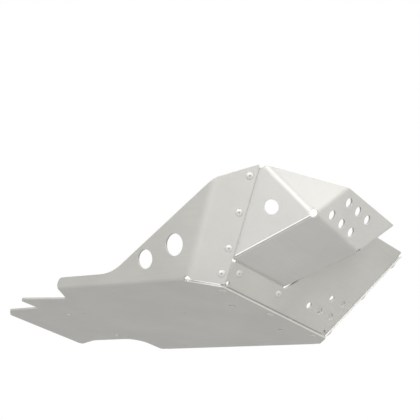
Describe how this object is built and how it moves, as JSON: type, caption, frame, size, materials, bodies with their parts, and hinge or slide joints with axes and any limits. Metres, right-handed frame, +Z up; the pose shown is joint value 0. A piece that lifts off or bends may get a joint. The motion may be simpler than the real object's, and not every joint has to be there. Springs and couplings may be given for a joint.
{
  "type": "motorcycle skid plate",
  "caption": "Folded aluminium skid plate with flared side wings, a sloping riveted front panel and a faceted guard that cups the exhaust headers.",
  "frame": {"origin": "on the underside of the floor, on the centreline between the side folds, at the line through the two front mounting holes", "axes": "+X towards the front wheel, +Y towards the rider's left, +Z up"},
  "size_m": [0.6499, 0.4145, 0.1621],
  "materials": {
    "sheet": "satin",
    "rivet": "smooth",
    "pin": "drawn"
  },
  "bodies": {
    "root": {"base_plate": "sheet", "front_panel": "sheet", "header_guard": "sheet", "right_seam_rivets": "rivet", "left_seam_rivets": "rivet", "foot_rivets": "rivet", "guard_rivets": "rivet", "right_seam_rivet_pins": "pin", "left_seam_rivet_pins": "pin", "foot_rivet_pins": "pin", "guard_rivet_pins": "pin"}
  },
  "joints": []
}
